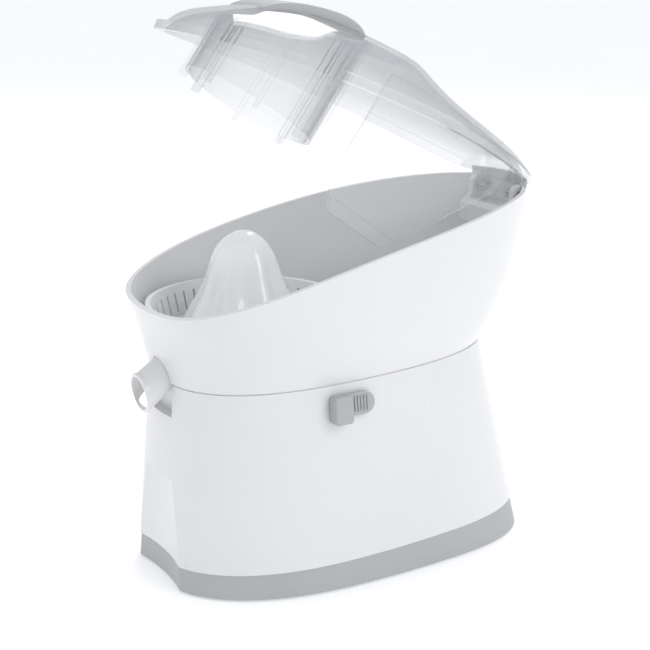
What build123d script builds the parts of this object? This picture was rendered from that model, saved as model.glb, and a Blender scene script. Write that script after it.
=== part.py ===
from build123d import *
import math
import os

os.makedirs("parts", exist_ok=True)

# Citrus press with a hinged clear lid. Millimetres, +Z up, -Y is the front (spout), +Y the rear
# (lid hinge), +X the side that carries the lever. The lid pieces stand in the open position.

# ------------------------------------------------------------------ driving dimensions
# base
foot_height = 3.0
foot_radius = 7.0
ring_bottom = 1.5
ring_front_top = 16.0
ring_rear_top = 21.0
ring_half_length = 123.6
ring_half_width = 75.3
ring_mid = -5.0
ring_wall = 3.0
overhang = 0.8
# waist, where the motor housing meets the juice container
waist_z = 126.0
waist_half_length = 109.7
waist_half_width = 60.7
waist_mid = -9.4
waist_egg = 0.12
seam_groove = 0.8
# rim of the juice container, a shallow arch over a sloping chord
rim_front_y = -128.3
rim_front_z = 170.2
rim_rear_y = 135.5
rim_rear_z = 222.0
rim_half_width = 75.7
rim_arch = 8.5
cowl_y = 125.0
cowl_z = 226.0
housing_wall = 3.0
floor_thickness = 3.0
# flat recess for the glass in the front of the base
recess_radius = 150.0
recess_y = -121.5
recess_top = 68.0
# basket, cone and drive
axis_y = -63.0
basket_radius = 58.0
basket_bottom_radius = 53.5
basket_top = 166.0
basket_floor = 146.0
basket_wall = 1.6
slot_count = 44
slot_width = 1.3
cone_base = 151.5
cone_top = 208.0
cone_radius = 37.0
cone_ribs = 8
press_travel = 3.0
spindle_radius = 4.0
running_fit = 0.05
tower_radius = 9.0
# gears
module_mm = 1.0
pinion_teeth = 17
wheel_teeth = 51
output_teeth = 68
backlash = 0.25
wheel_z = 97.0
wheel_width = 6.0
output_z = 84.0
output_width = 8.0
plate_z = 76.0
plate_thickness = 2.5
motor_radius = 24.0
motor_bottom = 22.0
# lid
open_angle = 36.1
hinge_y = 123.0
hinge_drop = 4.0
hinge_pin_radius = 2.0
knuckle_radius = 4.2
lid_gap = 0.6
lid_wall = 2.2
lid_band = 5.4
lid_band_out = 1.0
lid_tongue = 17.6
lid_end = 4.6
ring_radius = 42.0
ring_wall_clear = 2.2
press_ring_bottom = 162.0
tooth_length = 5.0
guard_x = 48.0
guard_thickness = 2.2
guard_bottom = 131.5
# spout and lever
spout_radius = 12.4
spout_tip = -135.1
spout_back_z = 124.4
spout_back_rise = 14.6
lip_tilt = 8.0
lip_z = 118.8
lip_wall = 2.2
spout_clearance = 0.3
lever_length = 28.5
lever_height = 13.5
lever_travel = 8.0
lever_z = 113.0
cord_z = 36.0
cord_radius = 3.2

rim_slope = math.degrees(math.atan2(rim_rear_z - rim_front_z, rim_rear_y - rim_front_y))
slope_rad = math.radians(rim_slope)
hinge_z = rim_front_z + (hinge_y - rim_front_y) * math.tan(slope_rad) - hinge_drop / math.cos(slope_rad)
rim_half_length = (rim_rear_y - rim_front_y) / 2 / math.cos(slope_rad)
rim_mid = (rim_rear_y + rim_front_y) / 2
rim_v = (rim_mid - hinge_y) / math.cos(slope_rad)


# ------------------------------------------------------------------ shared outlines
def outline(half_length, half_width, mid, front_power, rear_power, egg, count=28):
    """Egg-shaped plan outline, fuller towards the front when egg is positive."""
    pts = []
    for i in range(count):
        a = 2 * math.pi * (i + 0.5) / count
        c, s = math.cos(a), math.sin(a)
        power = front_power if s < 0 else rear_power
        y = half_length * math.copysign(abs(s) ** (2 / power), s)
        x = half_width * math.copysign(abs(c) ** (2 / power), c)
        pts.append((x * (1 - egg * y / half_length), y + mid))
    return pts


def section(plane, half_length, half_width, mid, front_power, rear_power, egg):
    with BuildSketch(plane) as face:
        with BuildLine():
            Spline(*outline(half_length, half_width, mid, front_power, rear_power, egg), periodic=True)
        make_face()
    add(face.sketch)


def rim_plane(height):
    """Plane parallel to the rim chord, at a height above it, with its origin over the hinge."""
    base = Plane(origin=(0, hinge_y, hinge_z), x_dir=(1, 0, 0), z_dir=(0, -math.sin(slope_rad), math.cos(slope_rad)))
    return base.offset(hinge_drop + height)


def side_plane(x):
    return Plane(origin=(x, 0, 0), x_dir=(0, 1, 0), z_dir=(1, 0, 0))


swing = Location((0, hinge_y, hinge_z)) * Location((0, 0, 0), (-open_angle, 0, 0)) * Location((0, -hinge_y, -hinge_z))


def carried(plane):
    """A plane drawn for the closed lid, swung with the lid to its open position."""
    return Plane(swing * plane.location)


def lower_sections(inset, bottom, top):
    """Loft sections of the motor housing from a flat bottom to the waist."""
    for z in (bottom, (bottom + top) / 2, top):
        t = (z - ring_front_top) / (waist_z - ring_front_top)
        section(
            Plane.XY.offset(z),
            ring_half_length + (waist_half_length - ring_half_length) * t - inset,
            ring_half_width + (waist_half_width - ring_half_width) * t - inset,
            ring_mid + (waist_mid - ring_mid) * t,
            2.45 + 0.1 * t,
            3.3 - 0.8 * t,
            0.04 + (waist_egg - 0.04) * t,
        )


def upper_sections(inset, bottom=waist_z):
    """Loft sections of the juice container from the waist to above the rim."""
    section(
        Plane.XY.offset(bottom),
        waist_half_length - inset, waist_half_width - inset, waist_mid, 2.55, 2.5, waist_egg,
    )
    section(
        Plane.XY.offset(waist_z + 0.22 * (rim_rear_z - waist_z)),
        (waist_half_length + rim_half_length) / 2 - 4 - inset,
        (waist_half_width + rim_half_width) / 2 - 1 - inset,
        (waist_mid + rim_mid) / 2 - 1.5, 2.7, 2.4, 0.5 * waist_egg + 0.03,
    )
    section(rim_plane(0), rim_half_length - inset, rim_half_width - 0.7 - inset, rim_v, 2.9, 2.15, 0.07)
    section(rim_plane(26), rim_half_length + 1.5 - inset, rim_half_width - inset, rim_v, 2.9, 2.15, 0.07)


def rim_point(y, lift):
    """Point of the rim's chord at y, raised square to the chord."""
    z = rim_front_z + (y - rim_front_y) * math.tan(slope_rad)
    return (y - lift * math.sin(slope_rad), z + lift * math.cos(slope_rad))


def over_rim(plane, lift, cowl=False):
    """Face that covers everything over the rim arc, seen from the side."""
    front = rim_point(rim_front_y - 8, lift - 1)
    top = rim_point(rim_mid, rim_arch + lift)
    rear = rim_point(rim_rear_y + 8, lift - 1)
    with BuildSketch(plane) as face:
        with BuildLine():
            ThreePointArc(front, top, rear)
            Polyline(rear, (200, rear[1]), (200, 420), (-220, 420), (-220, front[1]), front)
        make_face()
        if cowl:
            with Locations((cowl_y + 50, cowl_z - 25)):
                Rectangle(100, 50, mode=Mode.SUBTRACT)
    add(face.sketch)


def involute_gear(teeth, turn):
    """Outline points of a spur gear, turned about its centre by an angle in degrees."""
    pitch = module_mm * teeth / 2
    base = pitch * math.cos(math.radians(20))
    tip = pitch + 0.9 * module_mm
    root = pitch - 1.2 * module_mm
    inv20 = math.tan(math.radians(20)) - math.radians(20)
    half = (math.pi * module_mm / 2 - backlash) / (2 * pitch)
    pts = []
    for k in range(teeth):
        centre = math.radians(turn) + 2 * math.pi * k / teeth
        flank = []
        for j in range(4):
            r = max(base, root) + (tip - max(base, root)) * j / 3
            acos = math.acos(min(1.0, base / r))
            flank.append((r, half + inv20 - (math.tan(acos) - acos)))
        start = flank[0][1]
        pts.append((root * math.cos(centre - start), root * math.sin(centre - start)))
        for r, a in flank:
            pts.append((r * math.cos(centre - a), r * math.sin(centre - a)))
        for r, a in reversed(flank):
            pts.append((r * math.cos(centre + a), r * math.sin(centre + a)))
        pts.append((root * math.cos(centre + start), root * math.sin(centre + start)))
    out = [pts[0]]
    for p in pts[1:]:
        if math.dist(p, out[-1]) > 1e-3:
            out.append(p)
    return out


idler_y = axis_y + module_mm * (output_teeth + pinion_teeth) / 2
motor_y = idler_y + module_mm * (wheel_teeth + pinion_teeth) / 2
deck_z = waist_z - 4.0
# the rear wall of the motor housing leans forward; the cord bush stands square to it
cord_rise = (cord_z - ring_front_top) / (waist_z - ring_front_top)
rear_base = ring_mid + ring_half_length
rear_waist = waist_mid + waist_half_length
rear_draft = math.atan((rear_base - rear_waist) / (waist_z - ring_front_top))
cord_plane = Plane(
    origin=(0, rear_base + (rear_waist - rear_base) * cord_rise, cord_z), x_dir=(1, 0, 0),
    z_dir=(0, math.cos(rear_draft), math.sin(rear_draft)),
)
boss_points = [(-50, -80), (50, -80), (-50, 30), (50, 30)]
foot_points = [(-39, -84), (39, -84), (-41, 78), (41, 78)]
screw_points = [(-53, -50), (53, -50), (-52, 46), (52, 46)]

# ------------------------------------------------------------------ base ring
with BuildPart() as base_ring:
    lower_sections(overhang, ring_bottom, ring_rear_top + 6)
    loft()
    lower_sections(overhang + ring_wall, ring_bottom - 1, ring_rear_top + 8)
    loft(mode=Mode.SUBTRACT)
    with BuildSketch(side_plane(0)):
        with BuildLine():
            Polyline((-160, ring_front_top), (160, ring_rear_top), (160, 60), (-160, 60), close=True)
        make_face()
    extrude(amount=100, both=True, mode=Mode.SUBTRACT)
    # shelf that closes the inside edge and carries the bottom cover
    lower_sections(overhang + 0.5, ring_bottom, ring_bottom + 2.5)
    loft()
    with BuildSketch(Plane.XY.offset(ring_bottom - 1)):
        with BuildLine():
            Spline(*outline(ring_half_length - 12, ring_half_width - 12, ring_mid, 2.45, 3.3, 0.04), periodic=True)
        make_face()
    extrude(amount=5, mode=Mode.SUBTRACT)
    with BuildSketch(Plane.XY.offset(ring_bottom - 1)):
        with Locations((0, recess_y - recess_radius)):
            Circle(recess_radius)
    extrude(amount=40, mode=Mode.SUBTRACT)
    # inner web behind the glass recess
    with BuildSketch(Plane.XY.offset(ring_bottom)):
        with Locations((0, recess_y - recess_radius)):
            Circle(recess_radius + ring_wall)
            Circle(recess_radius, mode=Mode.SUBTRACT)
        with Locations((0, recess_y - 20)):
            Rectangle(46, 60, mode=Mode.INTERSECT)
    extrude(amount=ring_front_top - ring_bottom + 0.2)
base_ring.part.label = "base_ring"

# ------------------------------------------------------------------ bottom cover with vents and bosses
with BuildPart() as bottom_cover:
    with BuildSketch(Plane.XY.offset(ring_bottom + 2.6)):
        with BuildLine():
            Spline(*outline(ring_half_length - 9, ring_half_width - 6, ring_mid, 2.45, 3.3, 0.04), periodic=True)
        make_face()
        with Locations((0, recess_y - recess_radius)):
            Circle(recess_radius + ring_wall + 1, mode=Mode.SUBTRACT)
    extrude(amount=2.5)
    with BuildSketch(Plane.XY.offset(ring_bottom + 2)):
        with GridLocations(14, 0, 5, 1):
            with Locations((0, 20)):
                SlotOverall(40, 4, rotation=90)
    extrude(amount=6, mode=Mode.SUBTRACT)
    with BuildSketch(Plane.XY.offset(ring_bottom + 2)):
        with Locations(*foot_points):
            Circle(3.2)
        with Locations(*screw_points):
            Circle(2.2)
    extrude(amount=6, mode=Mode.SUBTRACT)
bottom_cover.part.label = "bottom_cover"

# ------------------------------------------------------------------ rubber feet
with BuildPart() as rubber_feet:
    with BuildSketch(Plane.XY):
        with Locations(*foot_points):
            Circle(foot_radius)
    extrude(amount=ring_bottom + 2.5)
    with BuildSketch(Plane.XY.offset(ring_bottom + 2.5)):
        with Locations(*foot_points):
            Circle(3.0)
    extrude(amount=4)
    fillet(rubber_feet.edges().group_by(Axis.Z)[0], 1.0)
rubber_feet.part.label = "rubber_feet"

# ------------------------------------------------------------------ screws through the bottom cover
with BuildPart() as cover_screws:
    with BuildSketch(Plane.XY.offset(ring_bottom + 0.6)):
        with Locations(*screw_points):
            Circle(3.6)
    extrude(amount=2.0)
    with BuildSketch(Plane.XY.offset(ring_bottom + 2.6)):
        with Locations(*screw_points):
            Circle(1.6)
    extrude(amount=12)
    with BuildSketch(Plane.XY.offset(ring_bottom + 0.6)):
        with Locations(*screw_points):
            Rectangle(4.4, 0.8)
            Rectangle(0.8, 4.4)
    extrude(amount=1.2, mode=Mode.SUBTRACT)
cover_screws.part.label = "cover_screws"

# ------------------------------------------------------------------ motor housing
with BuildPart() as recess_wall:
    lower_sections(0, ring_front_top - 4, waist_z)
    loft()
    with BuildSketch(Plane.XY.offset(ring_front_top + 0.6)):
        with Locations((0, recess_y - recess_radius)):
            Circle(recess_radius + housing_wall)
        with Locations((0, recess_y - 4)):
            Rectangle(74, 18, mode=Mode.INTERSECT)
    extrude(amount=recess_top + 6 - ring_front_top, mode=Mode.INTERSECT)

lever_y = -26.5
lever_neck = 10.0
lever_slot = lever_travel + lever_neck + 1.2
with BuildPart() as motor_housing:
    lower_sections(0, ring_front_top - 4, waist_z)
    loft()
    lower_sections(housing_wall, ring_front_top - 6, deck_z)
    loft(mode=Mode.SUBTRACT)
    # bosses that hang from the deck for the gearbox plate, and screw posts for the cover
    with BuildSketch(Plane.XY.offset(plate_z + plate_thickness)):
        with Locations(*[(0.94 * x, y) for x, y in boss_points]):
            Circle(4)
    extrude(amount=deck_z - plate_z - plate_thickness + 0.5)
    with BuildSketch(Plane.XY.offset(plate_z)):
        with Locations(*[(0.94 * x, y) for x, y in boss_points]):
            Circle(1.5)
    extrude(amount=14, mode=Mode.SUBTRACT)
    # spindle boss in the deck
    with BuildSketch(Plane.XY.offset(deck_z - 8)):
        with Locations((0, axis_y)):
            Circle(11)
    extrude(amount=10)
    with BuildSketch(Plane.XY.offset(deck_z - 10)):
        with Locations((0, axis_y)):
            Circle(7)
    extrude(amount=30, mode=Mode.SUBTRACT)
    # thickened wall and notch behind the spout
    with BuildSketch(Plane.XY.offset(103)):
        with Locations((0, -112.5)):
            Rectangle(34, 12)
    extrude(amount=deck_z - 102)
    with BuildSketch(Plane.XY.offset(106)):
        with Locations((0, -135)):
            Rectangle(2 * spout_radius + 5, 40)
    extrude(amount=30, mode=Mode.SUBTRACT)
    # seam groove under the juice container
    with BuildSketch(Plane.XY.offset(waist_z - seam_groove)):
        with BuildLine():
            Spline(*outline(waist_half_length + 12, waist_half_width + 12, waist_mid, 2.55, 2.5, waist_egg), periodic=True)
        make_face()
        with BuildLine():
            Spline(*outline(waist_half_length - 0.7, waist_half_width - 0.7, waist_mid, 2.55, 2.5, waist_egg), periodic=True)
        make_face(mode=Mode.SUBTRACT)
    extrude(amount=seam_groove + 1, mode=Mode.SUBTRACT)
    # the sloping joint with the base ring
    with BuildSketch(side_plane(0)):
        with BuildLine():
            Polyline((-160, ring_front_top), (160, ring_rear_top), (160, -20), (-160, -20), close=True)
        make_face()
    extrude(amount=100, both=True, mode=Mode.SUBTRACT)
    # glass recess, with its own wall inside
    add(recess_wall.part)
    with BuildSketch(Plane.XY.offset(0)):
        with Locations((0, recess_y - recess_radius)):
            Circle(recess_radius)
    extrude(amount=recess_top, mode=Mode.SUBTRACT)
    # slot for the lever and hole for the cord bush
    with BuildSketch(Plane(origin=(40, lever_y - 1 + lever_travel / 2, lever_z), x_dir=(0, 1, 0), z_dir=(1, 0, 0))):
        Rectangle(lever_slot, 6.4)
    extrude(amount=50, mode=Mode.SUBTRACT)
    with BuildSketch(cord_plane.offset(-20)):
        Circle(6)
    extrude(amount=40, mode=Mode.SUBTRACT)
motor_housing.part.label = "motor_housing"

# ------------------------------------------------------------------ juice container
with BuildPart() as juice_container:
    upper_sections(0)
    loft()
    upper_sections(housing_wall, waist_z + floor_thickness)
    loft(mode=Mode.SUBTRACT)
    over_rim(side_plane(-100), 0, cowl=True)
    extrude(amount=200, dir=(1, 0, 0), mode=Mode.SUBTRACT)
    # tower around the spindle, and the low weir between the bowl and the rear compartment
    with BuildSketch(Plane.XY.offset(waist_z + 0.5)):
        with Locations((0, axis_y)):
            Circle(tower_radius)
    extrude(amount=basket_floor - waist_z - 3.5)
    with BuildSketch(Plane.XY.offset(waist_z + 0.5)):
        with Locations((0, 3)):
            Rectangle(84, 2.4)
    extrude(amount=14)
    with BuildSketch(Plane.XY.offset(waist_z - 1)):
        with Locations((0, axis_y)):
            Circle(spindle_radius + 0.6)
    extrude(amount=40, mode=Mode.SUBTRACT)
    # seat for the shaft seal
    with BuildSketch(Plane.XY.offset(basket_floor - 6)):
        with Locations((0, axis_y)):
            Circle(tower_radius - 1.8)
    extrude(amount=20, mode=Mode.SUBTRACT)
    # arch and drain opening for the spout
    with BuildSketch(Plane(origin=(0, -112.6, 0), x_dir=(1, 0, 0), z_dir=(0, -1, 0))):
        with Locations((0, spout_back_z)):
            Ellipse(spout_radius + spout_clearance, spout_back_rise + spout_clearance)
    extrude(amount=30, mode=Mode.SUBTRACT)
juice_container.part.label = "juice_container"

# ------------------------------------------------------------------ spout
lip_normal = (0, -math.cos(math.radians(lip_tilt)), -math.sin(math.radians(lip_tilt)))
lip_y = spout_tip + spout_radius * math.sin(math.radians(lip_tilt))
lip_plane = Plane(origin=(0, lip_y, lip_z), x_dir=(1, 0, 0), z_dir=lip_normal)
with BuildPart() as spout_hollow:
    with BuildSketch(lip_plane.offset(-13)):
        Circle(spout_radius - lip_wall)
    extrude(amount=20)
    with BuildSketch(side_plane(-spout_radius)):
        with BuildLine():
            Polyline((-140, 106), (-131.6, 109), (-121.5, 121), (-121.5, 126.5), (-140, 129.8), close=True)
        make_face()
    extrude(amount=2 * spout_radius, mode=Mode.INTERSECT)

with BuildPart() as spout:
    with BuildSketch(Plane(origin=(0, -121, 0), x_dir=(1, 0, 0), z_dir=(0, -1, 0))):
        with Locations((0, spout_back_z)):
            Ellipse(spout_radius, spout_back_rise)
    with BuildSketch(lip_plane.offset(-3.2)):
        Circle(spout_radius)
    loft()
    with BuildSketch(lip_plane.offset(-3.2)):
        Circle(spout_radius)
    extrude(amount=3.2)
    with BuildSketch(Plane(origin=(0, -113, 0), x_dir=(1, 0, 0), z_dir=(0, -1, 0))):
        with Locations((0, spout_back_z)):
            Ellipse(spout_radius, spout_back_rise)
    extrude(amount=8)
    # the underside rises from the lip to the lower edge of the juice container
    with BuildSketch(side_plane(-spout_radius - 1)):
        with BuildLine():
            Polyline(
                (-110, 126.4), (-115.5, 126.4), (-116.6, 124.2), (-130.6, 112.2), (-129.6, 104), (-110, 96), close=True,
            )
        make_face()
    extrude(amount=2 * spout_radius + 2, mode=Mode.SUBTRACT)
    fillet(spout.faces().sort_by(Axis(lip_plane.origin, lip_plane.z_dir))[-1].edges(), 1.4)
    # outlet, and the passage from the bowl
    add(spout_hollow.part, mode=Mode.SUBTRACT)
    with BuildSketch(Plane(origin=(0, -108, 133.2), x_dir=(1, 0, 0), z_dir=(0, -1, 0))):
        Circle(3.4)
    extrude(amount=14.5, mode=Mode.SUBTRACT)
    with BuildSketch(Plane.XY.offset(121.5)):
        with Locations((0, -122.9)):
            Circle(2.6)
    extrude(amount=12, mode=Mode.SUBTRACT)
spout.part.label = "spout"

# ------------------------------------------------------------------ sieve basket
with BuildPart() as sieve_basket:
    with BuildSketch(side_plane(0)):
        with BuildLine():
            Polyline(
                (axis_y, basket_floor), (axis_y + basket_bottom_radius, basket_floor),
                (axis_y + basket_radius - 0.4, basket_top - 2.2), (axis_y + basket_radius + 1.4, basket_top - 2.2),
                (axis_y + basket_radius + 1.4, basket_top), (axis_y + basket_radius - basket_wall, basket_top),
                (axis_y + basket_bottom_radius - basket_wall, basket_floor + basket_wall),
                (axis_y, basket_floor + basket_wall), close=True,
            )
        make_face()
    revolve(axis=Axis((0, axis_y, 0), (0, 0, 1)))
    # hub skirt that stands on the tower
    with BuildSketch(Plane.XY.offset(basket_floor - 2.9)):
        with Locations((0, axis_y)):
            Circle(tower_radius + 1.5)
    extrude(amount=3.2)
    with BuildSketch(Plane.XY.offset(basket_floor - 4)):
        with Locations((0, axis_y)):
            Circle(spindle_radius + 3.6)
    extrude(amount=10, mode=Mode.SUBTRACT)
    # upright slots in the wall, radial slots in the floor
    with Locations((0, axis_y, (basket_top + basket_floor) / 2 - 0.8)):
        with PolarLocations(basket_radius - 2, slot_count):
            Box(9, slot_width, basket_top - basket_floor - 8, mode=Mode.SUBTRACT)
    with Locations((0, axis_y, basket_floor)):
        with PolarLocations(31, slot_count // 2):
            Box(26, slot_width, 6, mode=Mode.SUBTRACT)
sieve_basket.part.label = "sieve_basket"

# ------------------------------------------------------------------ reamer cone
cone_profile = [(0.0, 1.0), (0.10, 0.93), (0.30, 0.76), (0.55, 0.60), (0.80, 0.46), (0.93, 0.30), (1.0, 0.13)]
with BuildPart() as reamer_cone:
    for rise, share in cone_profile:
        lobes = []
        for i in range(8 * cone_ribs):
            a = 2 * math.pi * i / (8 * cone_ribs)
            r = cone_radius * share * (1 + 0.07 * math.cos(cone_ribs * a) * (1 - rise * 0.5))
            lobes.append((r * math.cos(a), axis_y + r * math.sin(a)))
        with BuildSketch(Plane.XY.offset(cone_base + rise * (cone_top - cone_base))):
            with BuildLine():
                Spline(*lobes, periodic=True)
            make_face()
    loft()
    # hollow underside with a socket for the spindle
    with BuildSketch(side_plane(0)):
        with BuildLine():
            Polyline(
                (axis_y, cone_base - 1), (axis_y + cone_radius * 0.88, cone_base - 1),
                (axis_y + cone_radius * 0.62, cone_base + 15), (axis_y + cone_radius * 0.44, cone_base + 30),
                (axis_y + cone_radius * 0.26, cone_base + 45), (axis_y, cone_base + 45), close=True,
            )
        make_face()
    revolve(axis=Axis((0, axis_y, 0), (0, 0, 1)), mode=Mode.SUBTRACT)
    with BuildSketch(Plane.XY.offset(cone_base)):
        with Locations((0, axis_y)):
            Circle(spindle_radius + 2.4)
    extrude(amount=46)
    with BuildSketch(Plane.XY.offset(cone_base - 1)):
        with Locations((0, axis_y)):
            Circle(spindle_radius)
            with Locations((0, spindle_radius - 0.4)):
                Rectangle(2 * spindle_radius, 2, mode=Mode.SUBTRACT)
    extrude(amount=35, mode=Mode.SUBTRACT)
reamer_cone.part.label = "reamer_cone"

# ------------------------------------------------------------------ spindle, bush and seal
collar_z = 107.0
spindle_bottom = 74.0
socket_depth = 34.0
with BuildPart() as spindle:
    with BuildSketch(Plane.XY.offset(spindle_bottom)):
        with Locations((0, axis_y)):
            Circle(spindle_radius)
    extrude(amount=cone_base + socket_depth - spindle_bottom - 0.5)
    with BuildSketch(Plane.XY.offset(collar_z)):
        with Locations((0, axis_y)):
            Circle(spindle_radius + 3.2)
    extrude(amount=2)
    with BuildSketch(Plane.XY.offset(cone_base - 2)):
        with Locations((0, axis_y + spindle_radius + 0.6)):
            Rectangle(2 * spindle_radius + 2, 4)
    extrude(amount=40, mode=Mode.SUBTRACT)
spindle.part.label = "spindle"

with BuildPart() as spindle_bush:
    with BuildSketch(Plane.XY.offset(deck_z - 8)):
        with Locations((0, axis_y)):
            Circle(7)
            Circle(spindle_radius + running_fit, mode=Mode.SUBTRACT)
    extrude(amount=12)
spindle_bush.part.label = "spindle_bush"

with BuildPart() as shaft_seal:
    with BuildSketch(Plane.XY.offset(basket_floor - 6)):
        with Locations((0, axis_y)):
            Circle(tower_radius - 1.8)
            Circle(spindle_radius + running_fit, mode=Mode.SUBTRACT)
    extrude(amount=2.8)
shaft_seal.part.label = "shaft_seal"

# ------------------------------------------------------------------ gear train
hub_top = output_z + output_width + 3.0
with BuildPart() as output_gear:
    with BuildSketch(Plane.XY.offset(output_z)):
        with Locations((0, axis_y)):
            Polygon(*involute_gear(output_teeth, 90), align=None)
            with PolarLocations(20, 6):
                Circle(6, mode=Mode.SUBTRACT)
    extrude(amount=output_width)
    with BuildSketch(Plane.XY.offset(plate_z + plate_thickness + 0.5)):
        with Locations((0, axis_y)):
            Circle(9)
    extrude(amount=hub_top - plate_z - plate_thickness - 0.5)
    with BuildSketch(Plane.XY.offset(plate_z)):
        with Locations((0, axis_y)):
            Circle(spindle_radius + running_fit)
    extrude(amount=40, mode=Mode.SUBTRACT)
output_gear.part.label = "output_gear"

axle_radius = 2.0
with BuildPart() as idler_gear:
    with BuildSketch(Plane.XY.offset(output_z)):
        with Locations((0, idler_y)):
            Polygon(*involute_gear(pinion_teeth, -90 + 180 / pinion_teeth), align=None)
    extrude(amount=wheel_z - output_z)
    with BuildSketch(Plane.XY.offset(wheel_z)):
        with Locations((0, idler_y)):
            Polygon(*involute_gear(wheel_teeth, 90), align=None)
            with PolarLocations(16, 5):
                Circle(4.5, mode=Mode.SUBTRACT)
    extrude(amount=wheel_width)
    with BuildSketch(Plane.XY.offset(output_z - 1)):
        with Locations((0, idler_y)):
            Circle(axle_radius + running_fit)
    extrude(amount=60, mode=Mode.SUBTRACT)
idler_gear.part.label = "idler_gear"

with BuildPart() as idler_axle:
    with BuildSketch(Plane.XY.offset(plate_z)):
        with Locations((0, idler_y)):
            Circle(axle_radius)
    extrude(amount=wheel_z + wheel_width + 3 - plate_z)
    with BuildSketch(Plane.XY.offset(plate_z + plate_thickness)):
        with Locations((0, idler_y)):
            Circle(axle_radius + 2)
    extrude(amount=output_z - plate_z - plate_thickness - 0.4)
idler_axle.part.label = "idler_axle"

with BuildPart() as motor_rotor:
    with BuildSketch(Plane.XY.offset(wheel_z)):
        with Locations((0, motor_y)):
            Polygon(*involute_gear(pinion_teeth, -90 + 180 / pinion_teeth), align=None)
    extrude(amount=wheel_width)
    with BuildSketch(Plane.XY.offset(motor_bottom + 1)):
        with Locations((0, motor_y)):
            Circle(axle_radius)
    extrude(amount=wheel_z + wheel_width + 1 - motor_bottom)
    with BuildSketch(Plane.XY.offset(motor_bottom + 9)):
        with Locations((0, motor_y)):
            Circle(motor_radius - 6)
            with PolarLocations(motor_radius - 6.5, 12):
                Rectangle(4, 1.6, mode=Mode.SUBTRACT)
    extrude(amount=30)
motor_rotor.part.label = "motor_rotor"

with BuildPart() as motor_can:
    with BuildSketch(Plane.XY.offset(motor_bottom)):
        with Locations((0, motor_y)):
            Circle(motor_radius)
    extrude(amount=plate_z - 6 - motor_bottom)
    with BuildSketch(Plane.XY.offset(motor_bottom + 3)):
        with Locations((0, motor_y)):
            Circle(motor_radius - 2)
    extrude(amount=plate_z, mode=Mode.SUBTRACT)
    with BuildSketch(Plane.XY.offset(motor_bottom + 0.6)):
        with Locations((0, motor_y)):
            Circle(axle_radius + running_fit)
    extrude(amount=10, mode=Mode.SUBTRACT)
motor_can.part.label = "motor_can"

with BuildPart() as motor_cap:
    with BuildSketch(Plane.XY.offset(plate_z - 6)):
        with Locations((0, motor_y)):
            Circle(motor_radius)
    extrude(amount=6)
    with BuildSketch(Plane.XY.offset(plate_z - 10)):
        with Locations((0, motor_y)):
            Circle(axle_radius + running_fit)
    extrude(amount=20, mode=Mode.SUBTRACT)
motor_cap.part.label = "motor_cap"

plate_bosses = [(0.94 * x, y) for x, y in boss_points]
with BuildPart() as gearbox_plate:
    with BuildSketch(Plane.XY.offset(plate_z)):
        with Locations((0, -24)):
            RectangleRounded(106, 128, 14)
        with Locations((0, axis_y)):
            Circle(spindle_radius + 1.5, mode=Mode.SUBTRACT)
        with Locations((0, idler_y)):
            Circle(axle_radius, mode=Mode.SUBTRACT)
        with Locations((0, motor_y)):
            Circle(axle_radius + 2, mode=Mode.SUBTRACT)
        with Locations(*plate_bosses):
            Circle(1.5, mode=Mode.SUBTRACT)
    extrude(amount=plate_thickness)
    # two tabs that hold the switch under the spindle
    with BuildSketch(Plane.XY.offset(plate_z - 18)):
        with Locations((-8.2, axis_y), (8.2, axis_y)):
            Rectangle(2, 18)
    extrude(amount=18)
gearbox_plate.part.label = "gearbox_plate"

with BuildPart() as plate_screws:
    with BuildSketch(Plane.XY.offset(plate_z - 2)):
        with Locations(*plate_bosses):
            Circle(3.2)
    extrude(amount=2)
    with BuildSketch(Plane.XY.offset(plate_z)):
        with Locations(*plate_bosses):
            Circle(1.5)
    extrude(amount=12)
    with BuildSketch(Plane.XY.offset(plate_z - 2)):
        with Locations(*plate_bosses):
            Rectangle(4.4, 0.8)
            Rectangle(0.8, 4.4)
    extrude(amount=1.2, mode=Mode.SUBTRACT)
plate_screws.part.label = "plate_screws"

# ------------------------------------------------------------------ start switch under the spindle
switch_top = spindle_bottom - 0.4 - press_travel - 0.6
with BuildPart() as micro_switch:
    with BuildSketch(Plane.XY.offset(switch_top - 12)):
        with Locations((0, axis_y)):
            Rectangle(14.4, 20)
            Circle(1.6, mode=Mode.SUBTRACT)
    extrude(amount=12)
    with BuildSketch(Plane.XY.offset(switch_top - 17)):
        with Locations((0, axis_y - 7), (0, axis_y + 7)):
            Rectangle(4, 0.8)
    extrude(amount=5.2)
micro_switch.part.label = "micro_switch"

with BuildPart() as switch_plunger:
    with BuildSketch(Plane.XY.offset(switch_top - 8)):
        with Locations((0, axis_y)):
            Circle(1.55)
    extrude(amount=spindle_bottom - 0.4 - switch_top + 8)
switch_plunger.part.label = "switch_plunger"

# ------------------------------------------------------------------ return spring of the spindle
spring_low = hub_top + 0.1
spring_high = collar_z - 0.1
spring_wire = 0.6
with BuildPart() as press_spring:
    with BuildLine() as coil:
        Helix(
            pitch=(spring_high - spring_low - 2 * spring_wire) / 4,
            height=spring_high - spring_low - 2 * spring_wire,
            radius=spindle_radius + 1.7, center=(0, axis_y, spring_low + spring_wire),
        )
    with BuildSketch(Plane(coil.line @ 0, z_dir=coil.line % 0)):
        Circle(spring_wire)
    sweep(path=coil.line, is_frenet=True)
press_spring.part.label = "press_spring"

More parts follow.
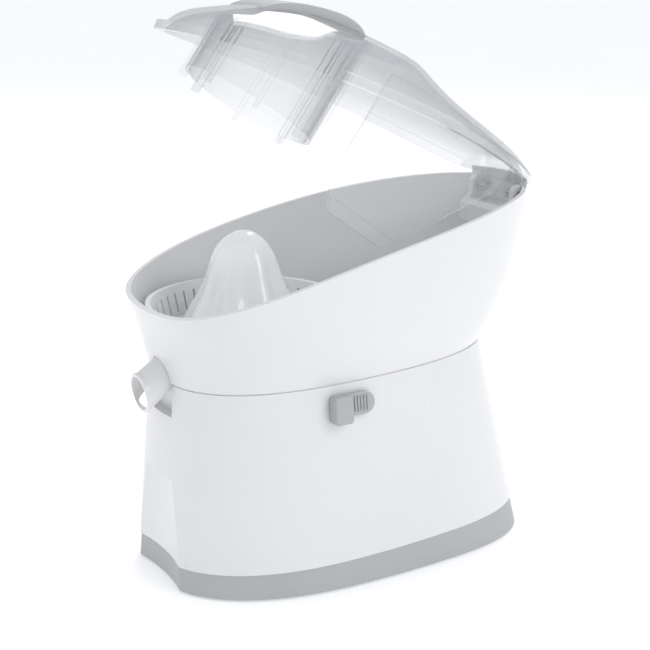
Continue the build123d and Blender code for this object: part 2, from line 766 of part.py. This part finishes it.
# ------------------------------------------------------------------ lever on the +X side
lever_draft = math.atan((ring_half_width - waist_half_width) / (waist_z - ring_front_top))
lever_x = 64.7
lever_plane = Plane(
    origin=(lever_x, lever_y, lever_z), x_dir=(0, 1, 0), z_dir=(math.cos(lever_draft), 0, math.sin(lever_draft))
)
with BuildPart() as side_lever:
    with BuildSketch(lever_plane):
        SlotOverall(lever_length, lever_height)
    extrude(amount=2.4)
    with BuildSketch(lever_plane):
        with Locations((-lever_length / 2 + 5.2, -1.5)):
            RectangleRounded(12, 17, 2.5)
    extrude(amount=7.5)
    fillet(side_lever.faces().sort_by(Axis(lever_plane.origin, lever_plane.z_dir))[-1].edges(), 1.2)
    with BuildSketch(lever_plane.offset(2.3)):
        with Locations((5, 0)):
            with GridLocations(2.1, 0, 5, 1):
                Rectangle(1.0, 9)
    extrude(amount=0.9)
    with BuildSketch(lever_plane.offset(-6)):
        with Locations((-1, 0)):
            Rectangle(lever_neck, 4.6)
    extrude(amount=6.5)
    with BuildSketch(lever_plane.offset(-7.6)):
        with Locations((-1, 0)):
            Rectangle(15, 9)
    extrude(amount=1.6)
side_lever.part.label = "side_lever"

# ------------------------------------------------------------------ bush for the supply cord
with BuildPart() as cord_grommet:
    with BuildSketch(cord_plane.offset(1.0)):
        Circle(8.5)
    extrude(amount=2.0)
    with BuildSketch(cord_plane.offset(-6.2)):
        Circle(5.95)
    extrude(amount=7.6)
    with BuildSketch(cord_plane.offset(-6.2)):
        Circle(7.4)
    extrude(amount=2.2)
    with BuildSketch(cord_plane.offset(-10)):
        Circle(cord_radius)
    extrude(amount=20, mode=Mode.SUBTRACT)
cord_grommet.part.label = "cord_grommet"

# ------------------------------------------------------------------ tray in the rear compartment
tray_floor = 143.0
with BuildPart() as tray_hollow:
    upper_sections(housing_wall + 10, waist_z + floor_thickness)
    loft()
    with BuildSketch(Plane.XY.offset(100)):
        with Locations((0, 56)):
            Rectangle(78, 92)
    extrude(amount=200, mode=Mode.INTERSECT)
    with BuildSketch(Plane.XY.offset(tray_floor)):
        Rectangle(300, 400)
    extrude(amount=2, mode=Mode.SUBTRACT)
with BuildPart() as rear_tray:
    upper_sections(housing_wall + 8, waist_z + floor_thickness + 0.1)
    loft()
    with BuildSketch(Plane.XY.offset(100)):
        with Locations((0, 56)):
            Rectangle(82, 96)
    extrude(amount=tray_floor + 9 - 100, mode=Mode.INTERSECT)
    add(tray_hollow.part, mode=Mode.SUBTRACT)
rear_tray.part.label = "rear_tray"

# ------------------------------------------------------------------ hinge bracket and pins
ear_in = 19.5
ear_out = 24.5
ear_radius = 6.6
with BuildPart() as hinge_bracket:
    upper_sections(housing_wall + 0.05, waist_z + floor_thickness)
    loft()
    with BuildSketch(side_plane(-ear_out)):
        with BuildLine():
            Polyline(
                (112, 192), (150, 184), (150, hinge_z + 5.4), (hinge_y - 1.5, hinge_z + 5.4),
                (hinge_y - 4.5, hinge_z + 2.5), (hinge_y - 4.5, hinge_z - 6), (112, hinge_z - 12), close=True,
            )
        make_face()
    extrude(amount=2 * ear_out, mode=Mode.INTERSECT)
    with BuildSketch(side_plane(-ear_in)):
        with BuildLine():
            Polyline((100, hinge_z - 9), (150, hinge_z - 9), (150, 260), (100, 260), close=True)
        make_face()
    extrude(amount=2 * ear_in, mode=Mode.SUBTRACT)
    with BuildSketch(side_plane(-ear_out - 1)):
        with Locations((hinge_y, hinge_z)):
            Circle(hinge_pin_radius)
    extrude(amount=2 * ear_out + 2, mode=Mode.SUBTRACT)
hinge_bracket.part.label = "hinge_bracket"

knuckle_in = 12.5
with BuildPart() as hinge_pins:
    with BuildSketch(side_plane(1.3 - ear_out), side_plane(knuckle_in)):
        with Locations((hinge_y, hinge_z)):
            Circle(hinge_pin_radius)
    extrude(amount=ear_out - knuckle_in - 1.3)
hinge_pins.part.label = "hinge_pins"

# ------------------------------------------------------------------ lid, drawn closed and swung open
# height over the rim chord, half length, half width, middle along the chord, outline powers and egg
lid_half_length = rim_half_length - 3.2
lid_half_width = rim_half_width - 1.8
lid_levels = [
    (-3.0, lid_half_length, lid_half_width, rim_v, 2.9, 2.15, 0.07),
    (14.0, lid_half_length - 8.0, lid_half_width - 6.0, rim_v - 0.8, 2.7, 2.2, 0.07),
    (24.0, lid_half_length - 36.0, lid_half_width - 16.0, rim_v - 14.5, 2.6, 2.4, 0.05),
    (33.5, rim_half_length - 66.0, rim_half_width - 33.0, rim_v - 24.0, 2.5, 2.5, 0.0),
    (40.5, 22.0, 16.0, rim_v - 8.0, 2.4, 2.4, 0.0),
]


def lid_sections(inset, sink):
    """Sections of the lid's dome, drawn in by inset and lowered by sink."""
    for level, length, width, mid, front, rear, egg in lid_levels:
        low = sink if level > 0 else 0
        section(carried(rim_plane(level - low)), length - inset, width - inset, mid, front, rear, egg)


def beyond_lid_end(depth):
    """Faces over what lies behind the lid's end and beside its hinge tongue."""
    with BuildSketch(Plane.XZ.offset(-(hinge_y + lid_end - depth))) as end:
        with Locations((0, 250)):
            Rectangle(300, 400)
    with BuildSketch(carried(rim_plane(-30))) as corners:
        for side in (-1, 1):
            with Locations((side * (lid_tongue - depth + 50), 44 - depth)):
                Rectangle(100, 100)
    return end.sketch, corners.sketch


end_face, corner_faces = beyond_lid_end(0)
inner_end, inner_corners = beyond_lid_end(lid_wall)
lid_up = (0, -math.sin(math.radians(rim_slope - open_angle)), math.cos(math.radians(rim_slope - open_angle)))

with BuildPart() as lid_hollow:
    lid_sections(lid_wall, lid_wall)
    loft()
    section(
        carried(rim_plane(-100)), lid_half_length - lid_wall, lid_half_width - lid_wall, rim_v, 2.9, 2.15, 0.07
    )
    extrude(amount=97.2, dir=lid_up)
    extrude(inner_end, amount=80, dir=(0, 1, 0), mode=Mode.SUBTRACT)
    extrude(inner_corners, amount=100, dir=lid_up, mode=Mode.SUBTRACT)

with BuildPart() as lid_dome:
    lid_sections(0, 0)
    loft()

with BuildPart() as lid_shell:
    section(
        carried(rim_plane(-8)), lid_half_length + lid_band_out, lid_half_width + lid_band_out, rim_v, 2.9, 2.15, 0.07
    )
    extrude(amount=30, dir=lid_up)
    over_rim(carried(side_plane(-100)), lid_gap + lid_band)
    extrude(amount=200, dir=(1, 0, 0), mode=Mode.SUBTRACT)
    add(lid_dome.part)
    extrude(end_face, amount=80, dir=(0, 1, 0), mode=Mode.SUBTRACT)
    extrude(corner_faces, amount=100, dir=lid_up, mode=Mode.SUBTRACT)
    add(lid_hollow.part, mode=Mode.SUBTRACT)
    # trim along the arched rim
    with BuildSketch(carried(side_plane(-100))) as below:
        with BuildLine():
            front = rim_point(rim_front_y - 8, lid_gap - 1)
            rear = rim_point(rim_rear_y + 8, lid_gap - 1)
            ThreePointArc(front, rim_point(rim_mid, rim_arch + lid_gap), rear)
            Polyline(rear, (180, rear[1]), (180, 60), (-200, 60), (-200, front[1]), front)
        make_face()
    extrude(amount=200, dir=(1, 0, 0), mode=Mode.SUBTRACT)
    # hinge knuckles
    for x in (-lid_tongue, knuckle_in):
        hinge_side = carried(
            Plane(origin=(x, hinge_y, hinge_z), x_dir=(0, math.cos(slope_rad), math.sin(slope_rad)), z_dir=(1, 0, 0))
        )
        with BuildSketch(hinge_side):
            Circle(knuckle_radius)
            with BuildLine():
                Polyline(
                    (-knuckle_radius, 0), (-knuckle_radius, 14), (-2.5, 14), (knuckle_radius, 3),
                    (knuckle_radius, 0), close=True,
                )
            make_face()
        extrude(amount=lid_tongue - knuckle_in)
    with BuildSketch(side_plane(-lid_tongue - 1)):
        with Locations((hinge_y, hinge_z)):
            Circle(hinge_pin_radius + running_fit)
    extrude(amount=2 * lid_tongue + 2, mode=Mode.SUBTRACT)
lid_shell.part.label = "lid_shell"

# ------------------------------------------------------------------ grip on the lid
grip_width = 42.0
with BuildPart() as lid_handle:
    with BuildSketch(carried(side_plane(-grip_width / 2))):
        with BuildLine():
            Spline((-97, 208), (-88, 217.5), (-76, 225), (-61, 231.5), (-45, 236), (-34, 235.5), (-27, 231), (-24, 224))
            Polyline((-24, 224), (-24, 200), (-97, 200), (-97, 208))
        make_face()
    extrude(amount=grip_width)
    fillet(lid_handle.faces().sort_by(Axis.X)[0].edges() + lid_handle.faces().sort_by(Axis.X)[-1].edges(), 3.5)
    add(lid_dome.part, mode=Mode.SUBTRACT)
lid_handle.part.label = "lid_handle"

# ------------------------------------------------------------------ press ring under the lid
with BuildPart() as press_ring:
    with BuildSketch(carried(Plane.XY.offset(press_ring_bottom))):
        with Locations((0, axis_y)):
            Circle(ring_radius)
            Circle(ring_radius - ring_wall_clear, mode=Mode.SUBTRACT)
    extrude(amount=80)
    with BuildSketch(carried(Plane.XY.offset(press_ring_bottom - tooth_length))):
        with Locations((0, axis_y)):
            with PolarLocations(ring_radius - 0.6, 8, start_angle=22.5):
                Rectangle(5.5, 2.4)
    extrude(amount=80)
    add(lid_hollow.part, mode=Mode.INTERSECT)
press_ring.part.label = "press_ring"

# ------------------------------------------------------------------ splash guard under the lid
with BuildPart() as splash_guard:
    with BuildSketch(carried(side_plane(guard_x))):
        with BuildLine():
            Polyline(
                (-20, 245), (-20, 150.6), (-13.7, 135.5), (-10.5, guard_bottom), (35, guard_bottom),
                (85, 200), (92, 245), close=True,
            )
        make_face()
    extrude(amount=guard_thickness)
    with BuildSketch(carried(side_plane(guard_x))):
        with BuildLine():
            Polyline((-10.5, guard_bottom), (35, guard_bottom), (40.8, guard_bottom + 8), (-14.4, guard_bottom + 8), close=True)
        make_face()
    extrude(amount=guard_thickness + 1)
    add(lid_hollow.part, mode=Mode.INTERSECT)
splash_guard.part.label = "splash_guard"

# ------------------------------------------------------------------ export
subparts = [
    base_ring, bottom_cover, rubber_feet, cover_screws, motor_housing, juice_container, spout, sieve_basket,
    reamer_cone, spindle, spindle_bush, shaft_seal, output_gear, idler_gear, idler_axle, motor_rotor, motor_can,
    motor_cap, gearbox_plate, plate_screws, micro_switch, switch_plunger, press_spring, side_lever, cord_grommet,
    rear_tray, hinge_bracket, hinge_pins, lid_shell, lid_handle, press_ring, splash_guard,
]
for piece in subparts:
    export_step(piece.part, "parts/" + piece.part.label + ".step")
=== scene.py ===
import bpy
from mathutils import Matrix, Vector

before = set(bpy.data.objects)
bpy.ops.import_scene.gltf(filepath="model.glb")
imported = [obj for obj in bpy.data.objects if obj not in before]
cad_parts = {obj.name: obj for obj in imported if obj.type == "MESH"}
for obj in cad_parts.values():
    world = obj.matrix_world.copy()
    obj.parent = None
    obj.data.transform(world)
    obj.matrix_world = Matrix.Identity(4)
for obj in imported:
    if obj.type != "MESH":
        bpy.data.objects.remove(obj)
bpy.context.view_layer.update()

# ---------------------------------------------------------------- camera
# A long lens that stands at the right of the front and looks a little down on the press.
# It is aimed at the middle of the body, under the rim.
aim = Vector((0.0, -0.00679, 0.14163))
eye = Vector((0.7431, -0.4445, 0.3989))
camera = bpy.data.objects.new("camera", bpy.data.cameras.new("camera"))
camera.data.sensor_width = 36.0
camera.data.lens = 79.75
camera.location = eye
camera.rotation_euler = (aim - eye).to_track_quat("-Z", "Y").to_euler()
bpy.context.scene.collection.objects.link(camera)
bpy.context.scene.camera = camera

# ---------------------------------------------------------------- light
# Three soft boxes under a pale sky: the key at the right, a weak fill in front and one behind at the left.
# The last one throws the soft shadow to the right of the press.
bpy.context.scene.view_settings.view_transform = "Standard"
sky = bpy.data.worlds.new("sky")
sky.use_nodes = True
sky.node_tree.nodes["Background"].inputs["Color"].default_value = (0.93, 0.95, 1.0, 1.0)
sky.node_tree.nodes["Background"].inputs["Strength"].default_value = 0.74
bpy.context.scene.world = sky
soft_boxes = (
    ("key", (1.25, 0.55, 1.1), 0.9, 6.5),
    ("fill", (-0.5, -1.4, 0.8), 1.2, 2.0),
    ("back", (-0.95, 0.75, 1.35), 0.7, 9.0),
)
for name, place, width, power in soft_boxes:
    lamp = bpy.data.objects.new(name, bpy.data.lights.new(name, "AREA"))
    lamp.data.size = width
    lamp.data.energy = power
    lamp.location = place
    lamp.rotation_euler = (aim - Vector(place)).to_track_quat("-Z", "Y").to_euler()
    bpy.context.scene.collection.objects.link(lamp)


# ---------------------------------------------------------------- white mouldings
# The motor housing, juice container, spout, basket, tray and hinge bracket are moulded in white ABS.
# The tools are polished, so the skin is a bright satin with a faint waviness and no grain.
class Signal:
    """A shader output that takes part in arithmetic and adds the Math node of each operation."""

    def __init__(self, finish, output):
        self.finish, self.output = finish, output

    def math(self, operation, first, second):
        return self.finish.node("ShaderNodeMath", {"operation": operation}, {0: first, 1: second})

    def __add__(self, other):
        return self.math("ADD", self, other)

    def __mul__(self, other):
        return self.math("MULTIPLY", self, other)

    def __pow__(self, other):
        return self.math("POWER", self, other)

    __radd__, __rmul__ = __add__, __mul__


class Finish:
    """A material with its Principled shader and the nodes that vary it."""

    def __init__(self, name, **constants):
        self.material = bpy.data.materials.new(name)
        self.material.use_nodes = True
        self.tree = self.material.node_tree
        self.shader = self.tree.nodes["Principled BSDF"]
        for socket, value in constants.items():
            self.shader.inputs[socket.replace("_", " ")].default_value = value

    def node(self, kind, settings=None, sockets=None, output=0):
        """A node of a kind, with its settings and then the values or links of its sockets."""
        made = self.tree.nodes.new(kind)
        for key, value in (settings or {}).items():
            setattr(made, key, value)
        for key, value in (sockets or {}).items():
            if isinstance(value, Signal):
                self.tree.links.new(value.output, made.inputs[key])
            else:
                made.inputs[key].default_value = value
        return Signal(self, made.outputs[output])

    def place(self):
        return self.node("ShaderNodeTexCoord", output="Object")

    def noise(self, scale, detail=2.0, stretch=None):
        where = self.place()
        if stretch:
            where = self.node("ShaderNodeMapping", None, {"Vector": where, "Scale": stretch})
        return self.node("ShaderNodeTexNoise", None, {"Vector": where, "Scale": scale, "Detail": detail})

    def mix(self, factor, first, second):
        """A colour that goes from first to second."""
        return self.node(
            "ShaderNodeMix", {"data_type": "RGBA"}, {0: factor, 6: (*first, 1.0), 7: (*second, 1.0)}, 2
        )

    def bump(self, height, strength, distance, under=None):
        sockets = {"Height": height, "Strength": strength, "Distance": distance}
        if under:
            sockets["Normal"] = under
        return self.node("ShaderNodeBump", None, sockets)

    def feed(self, **signals):
        for socket, signal in signals.items():
            self.tree.links.new(signal.output, self.shader.inputs[socket.replace("_", " ")])
        return self


def paint(finish, *nodes):
    """Gives CAD nodes their finish."""
    for name in nodes:
        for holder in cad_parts[name].material_slots:
            holder.material = finish.material


white = Finish("white_abs", IOR=1.53, Coat_Weight=0.25, Coat_Roughness=0.12)
cloud = white.noise(9.0)
white.feed(
    Base_Color=white.mix(cloud, (0.72, 0.72, 0.715), (0.78, 0.78, 0.775)),
    Roughness=0.24 + 0.14 * white.noise(45.0, 4.0),
    Normal=white.bump(white.noise(24.0), 0.1, 0.0012, white.bump(white.noise(2600.0), 0.12, 0.00005)),
)
paint(white, "motor_housing", "juice_container", "spout", "sieve_basket", "rear_tray", "hinge_bracket")

# ---------------------------------------------------------------- cone
# The reamer is moulded in a glossier white plastic, because fruit has to slide on its ribs.
glossy = Finish("cone_plastic", IOR=1.55, Coat_Weight=0.6, Coat_Roughness=0.05, Subsurface_Weight=0.05)
glossy.shader.inputs["Subsurface Radius"].default_value = (0.004, 0.004, 0.004)
glossy.feed(
    Base_Color=glossy.mix(glossy.noise(14.0), (0.82, 0.82, 0.81), (0.88, 0.88, 0.87)),
    Roughness=0.10 + 0.10 * glossy.noise(60.0, 4.0),
    Normal=glossy.bump(glossy.noise(30.0), 0.08, 0.001),
)
paint(glossy, "reamer_cone")

# ---------------------------------------------------------------- grey mouldings
# The base ring, side lever and grip are moulded in light grey ABS with a fine spark-eroded grain.
# The bottom cover and the switch's plunger are the same plastic.
grey = Finish("grey_abs", IOR=1.5)
grain = grey.noise(1500.0, 3.0)
grey.feed(
    Base_Color=grey.mix(grey.noise(12.0, 3.0), (0.40, 0.405, 0.41), (0.46, 0.465, 0.47)),
    Roughness=0.42 + 0.16 * grain,
    Normal=grey.bump(grain, 0.3, 0.00012),
)
paint(grey, "base_ring", "side_lever", "lid_handle", "switch_plunger", "bottom_cover")

# ---------------------------------------------------------------- clear mouldings
# The lid, its press ring and its splash guard are moulded in clear SAN and polished.
# A wall seen edge on has more plastic along the line of sight, so it is drawn more opaque there; its
# colour is also painted darker there, a painted shade for the light that the clear plastic bends away at a
# slant.
clear = Finish("clear_san", IOR=1.57, Coat_Weight=0.3, Coat_Roughness=0.03)
facing = clear.node("ShaderNodeLayerWeight", None, {"Blend": 0.35}, 1)
clear.feed(
    Base_Color=clear.mix(facing, (0.72, 0.73, 0.74), (0.22, 0.23, 0.24)),
    Roughness=0.04 + 0.05 * clear.noise(40.0, 3.0),
    Alpha=0.1 + 0.8 * facing ** 1.6,
    Normal=clear.bump(clear.noise(18.0), 0.12, 0.001),
)
paint(clear, "lid_shell", "press_ring", "splash_guard")

# ---------------------------------------------------------------- rubber
# The feet, the shaft's seal and the cord's bush are moulded in black rubber, matt and slightly chalky.
# They are pressed into their holes.
rubber = Finish("rubber", IOR=1.5, Sheen_Weight=0.1)
rubber.feed(
    Base_Color=rubber.mix(rubber.noise(300.0, 4.0), (0.02, 0.02, 0.02), (0.05, 0.05, 0.048)),
    Roughness=0.7 + 0.2 * rubber.noise(500.0),
    Normal=rubber.bump(rubber.noise(1800.0), 0.3, 0.0001),
)
paint(rubber, "rubber_feet", "shaft_seal", "cord_grommet")

# ---------------------------------------------------------------- steel
# The shafts, pins and spring are ground or drawn steel.
# The screws, gearbox plate and motor case are zinc plated, and the rotor is stacked from thin sheets.
ground = Finish("ground_steel", Metallic=1.0)
lines = ground.noise(900.0, 3.0, (1.0, 1.0, 0.03))
ground.feed(
    Base_Color=ground.mix(lines, (0.52, 0.52, 0.53), (0.66, 0.66, 0.67)),
    Roughness=0.16 + 0.2 * lines,
    Normal=ground.bump(lines, 0.2, 0.00005),
)
paint(ground, "spindle", "idler_axle", "hinge_pins", "press_spring")
plated = Finish("zinc_plate", Metallic=1.0)
spangle = plated.noise(220.0, 4.0)
plated.feed(
    Base_Color=plated.mix(spangle, (0.42, 0.43, 0.45), (0.60, 0.60, 0.58)),
    Roughness=0.28 + 0.22 * spangle,
    Normal=plated.bump(spangle, 0.15, 0.0001),
)
paint(plated, "cover_screws", "plate_screws", "gearbox_plate", "motor_can", "motor_cap")
laminated = Finish("rotor_steel", Metallic=0.8)
sheets = laminated.noise(400.0, 2.0, (0.02, 0.02, 5.0))
laminated.feed(
    Base_Color=laminated.mix(sheets, (0.16, 0.16, 0.17), (0.34, 0.34, 0.35)),
    Roughness=0.35 + 0.2 * sheets,
    Normal=laminated.bump(sheets, 0.5, 0.0003),
)
paint(laminated, "motor_rotor")

# ---------------------------------------------------------------- bush, gears and switch
# The spindle runs in a turned brass bush, and the gears are moulded in cream nylon.
# The switch is bought in, in a black moulded case.
brass = Finish("turned_brass", Metallic=1.0)
turning = brass.noise(700.0, 2.0, (0.05, 0.05, 4.0))
brass.feed(
    Base_Color=brass.mix(turning, (0.66, 0.47, 0.20), (0.80, 0.62, 0.32)),
    Roughness=0.2 + 0.2 * turning,
)
paint(brass, "spindle_bush")
nylon = Finish("gear_nylon", IOR=1.53, Subsurface_Weight=0.1)
nylon.shader.inputs["Subsurface Radius"].default_value = (0.003, 0.003, 0.002)
nylon.feed(
    Base_Color=nylon.mix(nylon.noise(90.0, 3.0), (0.66, 0.63, 0.54), (0.76, 0.73, 0.64)),
    Roughness=0.36 + 0.16 * nylon.noise(300.0),
)
paint(nylon, "output_gear", "idler_gear")
black = Finish("switch_case", IOR=1.5)
black.feed(
    Base_Color=black.mix(black.noise(200.0), (0.02, 0.02, 0.022), (0.045, 0.045, 0.05)),
    Roughness=0.4 + 0.2 * black.noise(800.0),
)
paint(black, "micro_switch")

# ---------------------------------------------------------------- floor
# A pale, plain sheet that the press stands on, with a faint unevenness in its sheen.
# It glows a little, so that it stays pale far behind the press.
bpy.ops.object.select_all(action="DESELECT")
floor_side = 40.0
bpy.ops.mesh.primitive_plane_add(size=floor_side, location=(0.0, 0.0, 0.0))
floor = bpy.context.object
floor.name = "floor"
pale = Finish("pale_floor", Emission_Strength=0.33)
pale.shader.inputs["Emission Color"].default_value = (1.0, 1.0, 1.0, 1.0)
pale.feed(
    Base_Color=pale.mix(pale.noise(3.0), (0.86, 0.86, 0.86), (0.89, 0.89, 0.89)),
    Roughness=0.55 + 0.1 * pale.noise(12.0),
)
floor.data.materials.append(pale.material)
